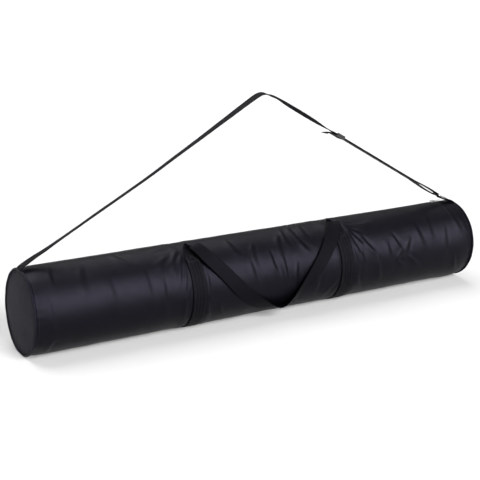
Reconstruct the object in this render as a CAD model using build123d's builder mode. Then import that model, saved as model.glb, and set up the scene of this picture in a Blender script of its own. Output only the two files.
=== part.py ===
from build123d import *
from math import cos, radians, sin, sqrt
import os

# A long round carrying bag for rolled drawings: a padded fabric tube closed by a zip, two
# webbing bands whose ends run on into a front and a back handle, and an adjustable
# shoulder strap from end to end.
# Millimetres. +X runs along the tube, +Z is up and the front handle is on the -Y side.
# The origin is on the floor, under the middle of the tube.

# ---- Tube ----
tube_length = 1210.0       # over the piping of both ends
tube_radius = 100.0        # outside of the outer fabric
rest_width = 56.0          # flat that the tube's weight presses into its underside
rest_corner = 40.0         # radius that eases that flat into the round
fabric_thickness = 1.2
padding_thickness = 4.5
lining_thickness = 0.8
layer_gap = 0.3            # between one layer and the next
sewn_gap = 0.15            # between pieces that are stitched to each other
piping_radius = 2.6
piping_proud = 1.0         # how far the piping stands outside the fabric
end_dome = 4.0             # swell of each end panel
end_padding_thickness = 4.0

# ---- Webbing bands and handles ----
webbing_width = 35.0
webbing_thickness = 1.6
band_offset = 206.0        # middle of each band from the middle of the tube
root_angle = 27.0          # from the zip to where a handle leaves its band, on either side
front_drop_angle = 134.0   # from the front handle's root down to its lowest point
back_drop_angle = 103.0    # the back handle starts lower, so its slack hangs as a wide loop
front_hang = 1.25          # power by which a handle drops steeply first and flattens below
back_hang = 4.2
handle_low_x = 14.0        # where along the tube the lowest point of a handle hangs
handle_lead = 0.1          # extra strip beyond both ends, as a share of the drop
handle_sections = 12       # stretches that each half of a handle is shaped in
free_gap = 0.3             # between pieces that move past each other

# ---- Zip ----
zip_angle = 17.0           # behind the top of the tube
mouth_width = 14.0         # between the two fabric lips
mouth_end = 18.0           # closed fabric beyond each end of the mouth
padding_mouth_width = 46.0
tape_width = 18.0
tape_thickness = 0.7
tape_beyond_mouth = 8.0
coil_width = 3.0
coil_height = 2.6
coil_gap = 1.2             # between the two rows of coil
coil_from_mouth_end = 8.0
stop_length = 3.0
stop_width = 6.8

# ---- Zip slider and puller ----
slider_length = 13.0
slider_width = 10.4
slider_plate = 1.2
slider_flange = 1.2
slider_neck_length = 3.0
slider_neck_width = 0.6
slider_from_stop = 6.0
crown_length = 10.0
crown_height = 3.8
crown_bar = 1.3
crown_width = 2.2
puller_length = 34.0
puller_width = 8.4
puller_thickness = 1.2
puller_pin_radius = 0.8
puller_window_length = 6.0
puller_hole_radius = 1.6

# ---- Shoulder strap ----
strap_width = 25.0
strap_thickness = 1.6
layer_spacing = 2.0        # between the middles of the two layers of the doubled run
swing_clearance = 1.5      # from the swinging strap down to the tube
left_pivot_from_end = 25.0
left_foot_from_end = 4.0
peak_x = 23.5              # where the two runs of the strap would meet
peak_height = 342.0        # of that point above the top of the tube
peak_radius = 35.0
left_run_slack = 2.3       # degrees by which the left run starts below a straight line
ring_from_end = 39.0       # ring's lower bar from the end of the tube
ring_height = 15.25        # ring's lower bar above the top of the tube
ring_wire_radius = 1.6
ring_bar_spacing = 20.0
ring_inner_width = 28.5
ring_corner = 2.5
tab_foot_from_end = 12.0
right_pivot_from_ring = 60.0
glide_from_ring = 387.0    # middle of the slider buckle, along the run
glide_length = 29.0
glide_rail = 2.6
glide_bar = 3.2
glide_bar_depth = 2.4
tail_length = 34.0         # free end beyond the slider buckle
tail_straight = 6.0
tail_drop = 13.0

# ---- Places that follow from the sizes above ----
half_length = tube_length / 2
shell_half = half_length - 2 * piping_radius - sewn_gap
floor_level = webbing_thickness + sewn_gap
axis_height = sqrt(tube_radius**2 - (rest_width / 2) ** 2) + floor_level
top_height = axis_height + tube_radius
mouth_half = shell_half - mouth_end
coil_half = mouth_half - coil_from_mouth_end
front_root_angle = zip_angle - root_angle
back_root_angle = zip_angle + root_angle
handle_radius = tube_radius + sewn_gap + webbing_thickness + free_gap + webbing_thickness / 2


def outward(angle):
    """Unit vector square to the tube's axis, at an angle behind the upward direction."""
    return Vector(0, sin(radians(angle)), cos(radians(angle)))


axis_point = Vector(0, 0, axis_height)
across_zip = Vector(0, cos(radians(zip_angle)), -sin(radians(zip_angle)))
zip_plane = Plane(origin=axis_point, x_dir=(1, 0, 0), z_dir=outward(zip_angle))
zip_side_plane = Plane(origin=axis_point, x_dir=(1, 0, 0), z_dir=-across_zip)


def zip_section(x):
    """Plane across the zip at x: its x is across the zip, its y is outward."""
    return Plane(origin=axis_point + Vector(x, 0, 0), x_dir=across_zip, z_dir=(1, 0, 0))


def outline(inset, x=0.0):
    """Cross-section of the tube, round with a flat underside, drawn in by inset."""
    with BuildSketch(Plane.YZ.offset(x)) as section:
        with Locations((0, axis_height)):
            Circle(tube_radius)
        with Locations((0, floor_level - tube_radius)):
            Rectangle(2 * tube_radius, 2 * tube_radius, mode=Mode.SUBTRACT)
        fillet(section.vertices().group_by(Axis.Y)[0], rest_corner)
        if inset:
            offset(amount=-inset)
    return section.sketch


def mouth_wedge():
    """Sector between the two handle roots, seen along the tube."""
    reach = 3 * tube_radius
    front = axis_point + outward(front_root_angle) * reach
    back = axis_point + outward(back_root_angle) * reach
    with BuildSketch(Plane.YZ) as wedge:
        Polygon((0, axis_height), (front.Y, front.Z), (back.Y, back.Z), align=None)
    return wedge.sketch

def ribbon_profile(line):
    """Face that follows an open line in the XZ plane, as thick as the strap."""
    with BuildSketch(Plane.XZ) as profile:
        with BuildLine():
            add(line)
            offset(amount=strap_thickness / 2, side=Side.BOTH)
        make_face()
    return profile.sketch


os.makedirs("parts", exist_ok=True)

# ---- Tube wall: outer fabric, foam and lining, each open along the zip ----
padding_inset = fabric_thickness + sewn_gap + tape_thickness + layer_gap
lining_inset = padding_inset + padding_thickness + layer_gap
end_cover_inset = 2 * piping_radius - piping_proud + sewn_gap
cover_rim = half_length - piping_radius
end_padding_outer = cover_rim - fabric_thickness - layer_gap
end_padding_inner = end_padding_outer - end_padding_thickness
end_lining_outer = end_padding_inner - layer_gap
end_lining_inner = end_lining_outer - lining_thickness
padding_half = end_padding_inner - layer_gap
lining_half = end_lining_inner - layer_gap

with BuildPart() as outer_shell:
    extrude(outline(0), amount=shell_half, both=True)
    extrude(outline(fabric_thickness), amount=shell_half, both=True, mode=Mode.SUBTRACT)
    with BuildSketch(zip_plane):
        Rectangle(2 * mouth_half, mouth_width)
    extrude(amount=2 * tube_radius, mode=Mode.SUBTRACT)
outer_shell.part.label = "outer_shell"
export_step(outer_shell.part, "parts/outer_shell.step")

with BuildPart() as foam_padding:
    extrude(outline(padding_inset), amount=padding_half, both=True)
    padding_inner = outline(padding_inset + padding_thickness)
    extrude(padding_inner, amount=padding_half, both=True, mode=Mode.SUBTRACT)
    with BuildSketch(zip_plane):
        Rectangle(tube_length, padding_mouth_width)
    extrude(amount=2 * tube_radius, mode=Mode.SUBTRACT)
foam_padding.part.label = "foam_padding"
export_step(foam_padding.part, "parts/foam_padding.step")

with BuildPart() as inner_lining:
    extrude(outline(lining_inset), amount=lining_half, both=True)
    lining_inner = outline(lining_inset + lining_thickness)
    extrude(lining_inner, amount=lining_half, both=True, mode=Mode.SUBTRACT)
    with BuildSketch(zip_plane):
        Rectangle(tube_length, padding_mouth_width)
    extrude(amount=2 * tube_radius, mode=Mode.SUBTRACT)
inner_lining.part.label = "inner_lining"
export_step(inner_lining.part, "parts/inner_lining.step")

# ---- The two ends: domed cover, foam disc, lining disc and the piping in the seam ----
cover_radius = tube_radius - end_cover_inset
dome_radius = (cover_radius**2 + end_dome**2) / (2 * end_dome)
ends = (("left", -1), ("right", 1))
for end_name, side in ends:
    dome_centre = side * (cover_rim + end_dome - dome_radius)
    with BuildPart() as end_panel:
        with Locations((dome_centre, 0, axis_height)):
            Sphere(dome_radius)
            Sphere(dome_radius - fabric_thickness, mode=Mode.SUBTRACT)
        cover_end = cover_rim + end_dome + layer_gap
        cover_depth = cover_end - end_padding_outer
        cover_outline = outline(end_cover_inset, side * cover_end)
        extrude(cover_outline, amount=-side * cover_depth, mode=Mode.INTERSECT)
    end_panel.part.label = f"{end_name}_end_panel"
    export_step(end_panel.part, f"parts/{end_name}_end_panel.step")

    with BuildPart() as end_foam:
        foam_outline = outline(end_cover_inset, side * end_padding_inner)
        extrude(foam_outline, amount=side * end_padding_thickness)
    end_foam.part.label = f"{end_name}_end_foam"
    export_step(end_foam.part, f"parts/{end_name}_end_foam.step")

    with BuildPart() as end_lining:
        extrude(outline(lining_inset, side * end_lining_inner), amount=side * lining_thickness)
    end_lining.part.label = f"{end_name}_end_lining"
    export_step(end_lining.part, f"parts/{end_name}_end_lining.step")

    with BuildPart() as piping:
        ridge = outline(piping_radius - piping_proud, side * cover_rim).wire()
        with BuildSketch(Plane(origin=ridge @ 0, z_dir=ridge % 0)):
            Circle(piping_radius)
        sweep(path=ridge)
    piping.part.label = f"{end_name}_piping"
    export_step(piping.part, f"parts/{end_name}_piping.step")

# ---- Zip: tapes under the fabric lips, the two rows of coil and the end stops ----
tape_inset = fabric_thickness + sewn_gap
coil_radius = tube_radius - tape_inset - tape_thickness / 2
tape_inner_edge = coil_gap / 2 + coil_width + sewn_gap
tape_half = mouth_half + tape_beyond_mouth
zip_sides = (("front", -1), ("back", 1))
for row_name, side in zip_sides:
    with BuildPart() as zipper_tape:
        extrude(outline(tape_inset), amount=tape_half, both=True)
        tape_under = outline(tape_inset + tape_thickness)
        extrude(tape_under, amount=tape_half, both=True, mode=Mode.SUBTRACT)
        with BuildSketch(zip_plane):
            with Locations((0, side * (tape_inner_edge + tape_width / 2))):
                Rectangle(2 * tape_half, tape_width)
        extrude(amount=2 * tube_radius, mode=Mode.INTERSECT)
    zipper_tape.part.label = f"zipper_tape_{row_name}"
    export_step(zipper_tape.part, f"parts/zipper_tape_{row_name}.step")

    with BuildPart() as zipper_coil:
        with BuildSketch(zip_plane.offset(coil_radius - coil_height / 2)):
            with Locations((0, side * (coil_gap + coil_width) / 2)):
                Rectangle(2 * coil_half, coil_width)
        extrude(amount=coil_height)
    zipper_coil.part.label = f"zipper_coil_{row_name}"
    export_step(zipper_coil.part, f"parts/zipper_coil_{row_name}.step")

with BuildPart() as zipper_stops:
    with BuildSketch(zip_plane.offset(coil_radius - coil_height / 2 - layer_gap)):
        stop_middle = coil_half + sewn_gap + stop_length / 2
        with Locations((-stop_middle, 0), (stop_middle, 0)):
            Rectangle(stop_length, stop_width)
    extrude(amount=coil_height + 2 * layer_gap)
zipper_stops.part.label = "zipper_stops"
export_step(zipper_stops.part, "parts/zipper_stops.step")

# ---- Zip slider, at the closed right-hand end, and the puller on its crown ----
slider_x = coil_half - slider_from_stop - slider_length / 2
plate_gap = coil_height / 2 + free_gap
plate_low = coil_radius - plate_gap - slider_plate / 2
plate_high = coil_radius + plate_gap + slider_plate / 2
flange_gap = tape_thickness / 2 + free_gap
flange_height = plate_gap - flange_gap
flange_reach = slider_width / 2 - slider_flange / 2
with BuildPart() as zipper_slider:
    with BuildSketch(zip_section(slider_x - slider_length / 2)):
        with Locations((0, plate_low), (0, plate_high)):
            Rectangle(slider_width, slider_plate)
        for across in (-flange_reach, flange_reach):
            for level in (-1, 1):
                flange_middle = coil_radius + level * (flange_gap + flange_height / 2)
                with Locations((across, flange_middle)):
                    Rectangle(slider_flange, flange_height)
    extrude(amount=slider_length)
    with BuildSketch(zip_section(slider_x + slider_length / 2)):
        with Locations((0, coil_radius)):
            Rectangle(slider_neck_width, 2 * plate_gap)
    extrude(amount=-slider_neck_length)
    crown_foot = plate_high + slider_plate / 2
    with BuildSketch(zip_side_plane):
        with Locations((slider_x, crown_foot + crown_height / 2)):
            Rectangle(crown_length, crown_height)
        with Locations((slider_x, crown_foot + (crown_height - crown_bar) / 2)):
            window_size = (crown_length - 2 * crown_bar, crown_height - crown_bar)
            Rectangle(*window_size, mode=Mode.SUBTRACT)
    extrude(amount=crown_width / 2, both=True)
zipper_slider.part.label = "zipper_slider"
export_step(zipper_slider.part, "parts/zipper_slider.step")

puller_pin_height = crown_foot + (crown_height - crown_bar) / 2
with BuildPart() as zipper_puller:
    with BuildSketch(zip_plane.offset(puller_pin_height - puller_thickness / 2)):
        puller_middle = slider_x - puller_pin_radius + puller_length / 2
        with Locations((puller_middle, 0)):
            RectangleRounded(puller_length, puller_width, puller_width / 4)
        with Locations((slider_x + puller_pin_radius + puller_window_length / 2, 0)):
            puller_slot = crown_width + 2 * free_gap
            Rectangle(puller_window_length, puller_slot, mode=Mode.SUBTRACT)
        with Locations((slider_x + puller_length - puller_width / 2, 0)):
            Circle(puller_hole_radius, mode=Mode.SUBTRACT)
    extrude(amount=puller_thickness)
    fillet(zipper_puller.edges().filter_by(GeomType.CIRCLE).group_by(SortBy.LENGTH)[-1], 0.3)
zipper_puller.part.label = "zipper_puller"
export_step(zipper_puller.part, "parts/zipper_puller.step")

# ---- Webbing bands, from one handle root down round the tube to the other ----
for band_name, side in ends:
    with BuildPart() as band:
        band_start = side * band_offset - webbing_width / 2
        band_outer = outline(-sewn_gap - webbing_thickness, band_start)
        extrude(band_outer, amount=webbing_width)
        extrude(outline(-sewn_gap, band_start), amount=webbing_width, mode=Mode.SUBTRACT)
        extrude(mouth_wedge(), amount=tube_length, both=True, mode=Mode.SUBTRACT)
    band.part.label = f"{band_name}_band"
    export_step(band.part, f"parts/{band_name}_band.step")

# ---- Handles: webbing hung down the tube from each band and up to the other ----
untrimmed_thickness = 4 * webbing_thickness
share_step = (1 + 2 * handle_lead) / handle_sections


def handle_middle(side, angle, share, hang):
    """Point on a handle's middle line, on that side, from its root at share 0 to its lowest at 1."""
    inward = side * band_offset - handle_low_x
    x = side * band_offset - inward * max(share, 0.0) ** hang
    return axis_point + Vector(x, 0, 0) + outward(angle) * handle_radius


def handle_strip(side, root_line_angle, drop_angle, hang):
    """Half of a handle, from its band on that side down to the lowest point."""
    with BuildPart() as strip:
        for section in range(handle_sections + 1):
            share = section * share_step - handle_lead
            angle = root_line_angle + share * drop_angle
            half_step = drop_angle * share_step / 2
            before = handle_middle(side, angle - half_step, share - share_step / 2, hang)
            after = handle_middle(side, angle + half_step, share + share_step / 2, hang)
            here = handle_middle(side, angle, share, hang)
            with BuildSketch(Plane(here, x_dir=outward(angle), z_dir=after - before)):
                Rectangle(untrimmed_thickness, webbing_width)
        loft()
        with BuildSketch(Plane.YZ):
            with Locations((0, axis_height)):
                Circle(handle_radius + webbing_thickness / 2)
                Circle(handle_radius - webbing_thickness / 2, mode=Mode.SUBTRACT)
        extrude(amount=tube_length, both=True, mode=Mode.INTERSECT)
        kept = Keep.TOP if side > 0 else Keep.BOTTOM
        split(bisect_by=Plane.YZ.offset(handle_low_x), keep=kept)
    return strip.part


with BuildPart() as front_handle:
    add(handle_strip(-1, front_root_angle, -front_drop_angle, front_hang))
    add(handle_strip(1, front_root_angle, -front_drop_angle, front_hang))
    extrude(mouth_wedge(), amount=tube_length, both=True, mode=Mode.SUBTRACT)
front_handle.part.label = "front_handle"
export_step(front_handle.part, "parts/front_handle.step")

with BuildPart() as back_handle:
    add(handle_strip(-1, back_root_angle, back_drop_angle, back_hang))
    add(handle_strip(1, back_root_angle, back_drop_angle, back_hang))
    extrude(mouth_wedge(), amount=tube_length, both=True, mode=Mode.SUBTRACT)
back_handle.part.label = "back_handle"
export_step(back_handle.part, "parts/back_handle.step")

# ---- Shoulder strap: short sewn end on the left, ring and tab on the right ----
pivot_height = top_height + strap_width / 2 + swing_clearance
left_pivot = Vector(-half_length + left_pivot_from_end, pivot_height)
left_foot = Vector(-half_length + left_foot_from_end, top_height + 1.5 * strap_thickness)
peak = Vector(peak_x, top_height + peak_height)
ring_bar = Vector(half_length - ring_from_end, top_height + ring_height)
tab_foot = Vector(half_length - tab_foot_from_end, top_height + 2 * strap_thickness)
run = (peak - ring_bar).normalized()
run_square = Vector(run.Y, -run.X)
right_pivot = ring_bar + run * right_pivot_from_ring
far_bar = ring_bar + run * ring_bar_spacing
end_space = (strap_width + strap_thickness) / 2 + free_gap
wrap_inner = ring_wire_radius + free_gap
wrap_outer = wrap_inner + strap_thickness


def along_run(distance, off=0.0):
    """Point on the strap's right run, measured from the ring's lower bar."""
    return ring_bar + run * distance + run_square * off


layer_off = layer_spacing / 2
main_peak = along_run((peak - ring_bar).length, layer_off)
left_rise = (main_peak - left_pivot).normalized().rotate(Axis.Z, -left_run_slack)

with BuildPart() as left_strap_end:
    with BuildLine() as sewn_line:
        Line(left_foot, left_pivot - left_rise * end_space)
    extrude(ribbon_profile(sewn_line.line), amount=strap_width / 2, both=True)
left_strap_end.part.label = "left_strap_end"
export_step(left_strap_end.part, "parts/left_strap_end.step")

with BuildPart() as ring_tab:
    with BuildSketch(Plane.XZ):
        with Locations(ring_bar):
            Circle(wrap_outer)
        with Locations(tab_foot):
            Circle(strap_thickness)
        make_hull()
        with Locations(ring_bar):
            Circle(wrap_inner, mode=Mode.SUBTRACT)
    extrude(amount=strap_width / 2, both=True)
ring_tab.part.label = "ring_tab"
export_step(ring_tab.part, "parts/ring_tab.step")

run_plane = Plane(
    origin=(ring_bar.X, 0, ring_bar.Y),
    x_dir=(run.X, 0, run.Y),
    z_dir=(run_square.X, 0, run_square.Y),
)
ring_span = ring_inner_width + 2 * ring_wire_radius
with BuildSketch(run_plane) as ring_shape:
    with Locations((ring_bar_spacing / 2, 0)):
        RectangleRounded(ring_bar_spacing, ring_span, ring_corner)
ring_path = ring_shape.sketch.face().outer_wire()
with BuildPart() as strap_ring:
    with BuildSketch(Plane(origin=ring_path @ 0, z_dir=ring_path % 0)):
        Circle(ring_wire_radius)
    sweep(path=ring_path)
strap_ring.part.label = "strap_ring"
export_step(strap_ring.part, "parts/strap_ring.step")

loop_end = right_pivot_from_ring - end_space
with BuildPart() as strap_ring_loop:
    with BuildSketch(Plane.XZ):
        with Locations(far_bar):
            Circle(wrap_outer)
        with Locations(along_run(loop_end - strap_thickness, layer_off)):
            Circle(strap_thickness / 2)
        with Locations(along_run(loop_end - strap_thickness, -layer_off)):
            Circle(strap_thickness / 2)
        make_hull()
        with BuildSketch(Plane.XY, mode=Mode.SUBTRACT):
            with Locations(far_bar):
                Circle(wrap_inner)
            with Locations(along_run(loop_end - 3 * strap_thickness)):
                Circle(layer_off - strap_thickness / 2)
            make_hull()
    extrude(amount=strap_width / 2, both=True)
strap_ring_loop.part.label = "strap_ring_loop"
export_step(strap_ring_loop.part, "parts/strap_ring_loop.step")

# ---- The long runs of the strap, parted at the peak and at the end of the ring loop ----


def beyond_round_end(pivot, rise):
    """What is cut away to round the low end of a strap about its pivot."""
    across_strap = Plane((pivot.X, 0, pivot.Y), x_dir=(rise.X, 0, rise.Y), z_dir=(-rise.Y, 0, rise.X))
    with BuildSketch(across_strap) as corners:
        with Locations((-strap_width / 2, 0)):
            Rectangle(strap_width, 2 * strap_width)
        Circle(strap_width / 2, mode=Mode.SUBTRACT)
    return corners.sketch


left_low_end = left_pivot - left_rise * strap_width / 2
right_low_end = right_pivot_from_ring - strap_width / 2
with BuildLine() as long_line:
    left_straight = Line(left_low_end, left_pivot + left_rise * strap_width / 2)
    TangentArc(left_straight @ 1, main_peak, tangent=left_rise)
    Line(main_peak, along_run(right_low_end, layer_off))
    fillet(long_line.vertices().sort_by(Axis.Y)[-1], peak_radius)
runs = (("left", Keep.BOTTOM, left_pivot, left_rise), ("right", Keep.TOP, right_pivot, run))
for run_name, keep, pivot, rise in runs:
    with BuildPart() as strap_run:
        extrude(ribbon_profile(long_line.line), amount=strap_width / 2, both=True)
        split(bisect_by=Plane.YZ.offset(peak_x), keep=keep)
        trim = beyond_round_end(pivot, rise)
        extrude(trim, amount=strap_width / 2, both=True, mode=Mode.SUBTRACT)
    strap_run.part.label = f"strap_{run_name}_run"
    export_step(strap_run.part, f"parts/strap_{run_name}_run.step")

glide_end = glide_from_ring + glide_length / 2
tail_start = along_run(glide_end + tail_straight, -layer_off)
tail_tip = along_run(glide_end + tail_length, -layer_off - tail_drop)
with BuildPart() as strap_return_run:
    with BuildLine() as return_line:
        Line(along_run(right_low_end, -layer_off), tail_start)
        TangentArc(tail_start, tail_tip, tangent=run)
    extrude(ribbon_profile(return_line.line), amount=strap_width / 2, both=True)
    trim = beyond_round_end(right_pivot, run)
    extrude(trim, amount=strap_width / 2, both=True, mode=Mode.SUBTRACT)
strap_return_run.part.label = "strap_return_run"
export_step(strap_return_run.part, "parts/strap_return_run.step")

# ---- Slider buckle: both layers pass under its middle bar and over its two end bars ----
bar_gap = layer_off + strap_thickness / 2 + free_gap
rail_inner = strap_width / 2 + 2 * free_gap
glide_width = 2 * (rail_inner + glide_rail)
with BuildPart() as strap_slider:
    with BuildSketch(run_plane.offset(-bar_gap - glide_bar_depth)):
        with Locations((glide_from_ring, 0)):
            RectangleRounded(glide_length, glide_width, glide_rail)
            Rectangle(glide_length - 2 * glide_bar, 2 * rail_inner, mode=Mode.SUBTRACT)
    extrude(amount=glide_bar_depth)
    with BuildSketch(run_plane.offset(-bar_gap)):
        for rail_side in (-1, 1):
            with Locations((glide_from_ring, rail_side * (rail_inner + glide_rail / 2))):
                Rectangle(glide_length - 2 * glide_rail, glide_rail)
    extrude(amount=2 * bar_gap + glide_bar_depth)
    with BuildSketch(run_plane.offset(bar_gap)):
        with Locations((glide_from_ring, 0)):
            Rectangle(glide_bar, glide_width - glide_rail)
    extrude(amount=glide_bar_depth)
strap_slider.part.label = "strap_slider"
export_step(strap_slider.part, "parts/strap_slider.step")
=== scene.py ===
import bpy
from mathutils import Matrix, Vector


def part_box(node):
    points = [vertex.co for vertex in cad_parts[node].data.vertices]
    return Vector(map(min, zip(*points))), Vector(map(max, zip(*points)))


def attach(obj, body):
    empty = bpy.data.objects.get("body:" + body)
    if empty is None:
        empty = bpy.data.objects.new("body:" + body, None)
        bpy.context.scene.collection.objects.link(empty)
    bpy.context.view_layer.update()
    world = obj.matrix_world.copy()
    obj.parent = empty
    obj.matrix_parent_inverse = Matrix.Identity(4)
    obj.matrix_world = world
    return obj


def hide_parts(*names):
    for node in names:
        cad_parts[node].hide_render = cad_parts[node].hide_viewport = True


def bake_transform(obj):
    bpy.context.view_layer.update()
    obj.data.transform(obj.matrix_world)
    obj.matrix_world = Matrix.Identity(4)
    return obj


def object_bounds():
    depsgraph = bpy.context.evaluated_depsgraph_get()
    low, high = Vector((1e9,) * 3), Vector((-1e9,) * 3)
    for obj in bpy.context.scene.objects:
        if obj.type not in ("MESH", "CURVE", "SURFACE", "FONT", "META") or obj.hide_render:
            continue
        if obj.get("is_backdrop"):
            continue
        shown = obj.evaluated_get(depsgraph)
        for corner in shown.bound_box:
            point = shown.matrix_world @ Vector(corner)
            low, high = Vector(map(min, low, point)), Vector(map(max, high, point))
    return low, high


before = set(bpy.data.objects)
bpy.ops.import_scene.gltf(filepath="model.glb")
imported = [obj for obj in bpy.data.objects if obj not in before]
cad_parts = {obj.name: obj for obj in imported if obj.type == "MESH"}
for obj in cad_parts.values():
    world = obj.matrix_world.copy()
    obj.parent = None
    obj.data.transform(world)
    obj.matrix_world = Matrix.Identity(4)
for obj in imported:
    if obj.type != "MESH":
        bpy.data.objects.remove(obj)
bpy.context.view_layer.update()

import math

import bmesh
import bpy
import numpy as np
from mathutils import Vector

bl_info = {
    "name": "Drawing tube bag",
    "version": (1, 0, 0),
    "blender": (4, 5, 0),
    "location": "View3D > Sidebar > Bag",
    "description": "Builds the soft goods and finishes of a padded bag for rolled drawings",
    "category": "Object",
}

MM = 0.001
fabric_low, fabric_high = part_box("outer_shell")
RADIUS = (fabric_high.y - fabric_low.y) / 2
AXIS = fabric_high.z - RADIUS
HALF = fabric_high.x
FABRIC_FLOOR = fabric_low.z
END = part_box("right_piping")[1].x
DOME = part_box("right_end_panel")[1].x
BAND = (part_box("right_band")[0].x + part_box("right_band")[1].x) / 2
BAND_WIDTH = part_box("right_band")[1].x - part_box("right_band")[0].x
ZIP = -17.0             # degrees in front of the tube's top
ZIP_END = 581.65 * MM   # where the mouth's lips close
PIPING = 2.6 * MM
PANEL_EDGE = END - PIPING
WEBBING_BED = RADIUS + 1.9 * MM   # heights of webbing are counted from here
SEWN = -0.95            # millimetres from that bed to webbing that is sewn to the fabric
LEFT_BAND, RIGHT_BAND = -204, 206
FRONT_ROOT, BACK_ROOT = 10, 44    # where the handles leave the bands, in degrees from the top
STITCH_THICKNESS = 0.55 * MM
STITCH_LENGTH = 2.7 * MM
SEAM_OFF_ZIP = 12.5 * MM
COIL_HALF, SEAM_HALF, TAPE_HALF = 573 * MM, 575 * MM, 588 * MM
TAPE_WIDTH, TAPE_THICKNESS, TAPE_OFF_ZIP = 14.2 * MM, 0.6 * MM, 10.9 * MM
INNER_MOUTH, INNER_ZIP_END = 23 * MM, 577 * MM   # of the padding and the lining
WEBBING_FLOOR = 0.9 * MM     # lowest height of the webbing's middle
STITCH_FLOOR = 2.65 * MM     # and of the stitches in the bands


# ---- Sizes and colours that a user would change ----
def length(name, description, default, low, high):
    return bpy.props.FloatProperty(name=name, description=description, default=default, min=low, max=high,
                                   unit="LENGTH")


def tint(name, description, *default):
    return bpy.props.FloatVectorProperty(name=name, description=description, subtype="COLOR", size=3,
                                         default=default, min=0, max=1)


class BagSizes(bpy.types.PropertyGroup):
    """Sizes of the soft goods."""

    fold_depth: bpy.props.FloatProperty(
        name="Fold depth", description="How strong the fabric's folds are", default=1.45, min=0.0, max=2.0)
    fabric_step: length("Fabric step", "Spacing of the fabric's mesh", 0.003, 0.002, 0.02)
    webbing_thickness: length("Webbing thickness", "Of bands, handles and strap", 0.0016, 0.001, 0.003)
    strap_width: length("Strap width", "Of the shoulder strap", 0.025, 0.015, 0.04)
    stitch_pitch: length("Stitch pitch", "From one stitch to the next", 0.0036, 0.002, 0.008)
    coil_pitch: length("Coil pitch", "From one turn of the zip's coil to the next", 0.002, 0.001, 0.004)


class BagColours(bpy.types.PropertyGroup):
    """Colours of the cloth, webbing and fittings."""

    fabric: tint("Fabric", "Coated cloth of the tube", 0.0013, 0.0012, 0.0020)
    # The end colour is set lighter than the tube's fabric as painted light: it stands for the side light
    # falling on the round ends.
    end_fabric: tint("End fabric", "Cloth of the two round ends", 0.0036, 0.0032, 0.0058)
    webbing: tint("Webbing", "Bands, handles and strap", 0.0009, 0.0008, 0.0013)
    thread: tint("Thread", "Sewing thread", 0.0030, 0.0028, 0.0042)
    lining: tint("Lining", "Cloth inside the bag", 0.012, 0.012, 0.015)
    metal: tint("Metal", "Slider, puller and ring", 0.62, 0.62, 0.64)
    plastic: tint("Plastic", "Slider buckle", 0.006, 0.006, 0.0068)


# ---- Shader maths ----
def joined(operation, swapped=False):
    """A method that joins a flow and another value by that operation."""
    def method(self, other):
        pair = [other, self] if swapped else [self, other]
        return self.finish.add("ShaderNodeMath", {"operation": operation}, dict(enumerate(pair)))
    return method


class Flow:
    """A shader socket that Python's arithmetic adds nodes to."""

    __add__, __radd__ = joined("ADD"), joined("ADD", True)
    __sub__, __rsub__ = joined("SUBTRACT"), joined("SUBTRACT", True)
    __mul__, __rmul__ = joined("MULTIPLY"), joined("MULTIPLY", True)
    __truediv__, __rtruediv__ = joined("DIVIDE"), joined("DIVIDE", True)
    __gt__, __lt__ = joined("GREATER_THAN"), joined("GREATER_THAN", True)

    def __init__(self, finish, socket):
        self.finish, self.socket = finish, socket

    def wave(self):
        """A sine of this many turns, from 0 to 1."""
        return self.finish.add("ShaderNodeMath", {"operation": "SINE"}, {0: self * math.tau}) * 0.5 + 0.5

    def clipped(self):
        return self.finish.add("ShaderNodeClamp", {}, {"Value": self})


class Finish:
    """A material being mixed."""

    def __init__(self, name):
        self.material = bpy.data.materials.new(name)
        self.material.use_nodes = True
        self.tree = self.material.node_tree
        self.tree.nodes.clear()
        output = self.tree.nodes.new("ShaderNodeOutputMaterial")
        self.shader = self.tree.nodes.new("ShaderNodeBsdfPrincipled")
        self.tree.links.new(self.shader.outputs["BSDF"], output.inputs["Surface"])

    def add(self, kind, settings, values, output=0):
        """Any node: its settings first, then the values or links of its sockets."""
        node = self.tree.nodes.new(kind)
        for key, value in settings.items():
            setattr(node, key, value)
        self.fill(node, values)
        return Flow(self, node.outputs[output])

    def fill(self, node, values):
        for key, value in values.items():
            if isinstance(value, Flow):
                self.tree.links.new(value.socket, node.inputs[key])
            else:
                node.inputs[key].default_value = value

    def cloth_place(self):
        """The cloth's own coordinates, in metres: across its width and along its length."""
        place = self.add("ShaderNodeUVMap", {"uv_map": "cloth"}, {})
        across = self.add("ShaderNodeSeparateXYZ", {}, {0: place}, 0)
        along = self.add("ShaderNodeSeparateXYZ", {}, {0: place}, 1)
        return across, along

    def room_place(self):
        return self.add("ShaderNodeTexCoord", {}, {}, "Object")

    def speckle(self, place, scale, detail=2.0, roughness=0.5):
        return self.add("ShaderNodeTexNoise", {"noise_dimensions": "3D"},
                        {"Vector": place, "Scale": scale, "Detail": detail, "Roughness": roughness}, 0)

    def mixed(self, share, first, second):
        """Two colours or colour flows, mixed by share."""
        values = {0: share, 6: self.colour(first), 7: self.colour(second)}
        return self.add("ShaderNodeMix", {"data_type": "RGBA"}, values, 2)

    def colour(self, value):
        return value if isinstance(value, Flow) else (*value[:3], 1.0)

    def bumped(self, height, distance, strength=1.0, below=None):
        values = {"Height": height, "Distance": distance, "Strength": strength}
        if below is not None:
            values["Normal"] = below
        return self.add("ShaderNodeBump", {}, values)

    def set(self, **values):
        names = {key.replace("_", " "): value for key, value in values.items()}
        self.fill(self.shader, names)
        return self.material


def shade(colour, by):
    return tuple(min(1.0, part * by) for part in colour)


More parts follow.
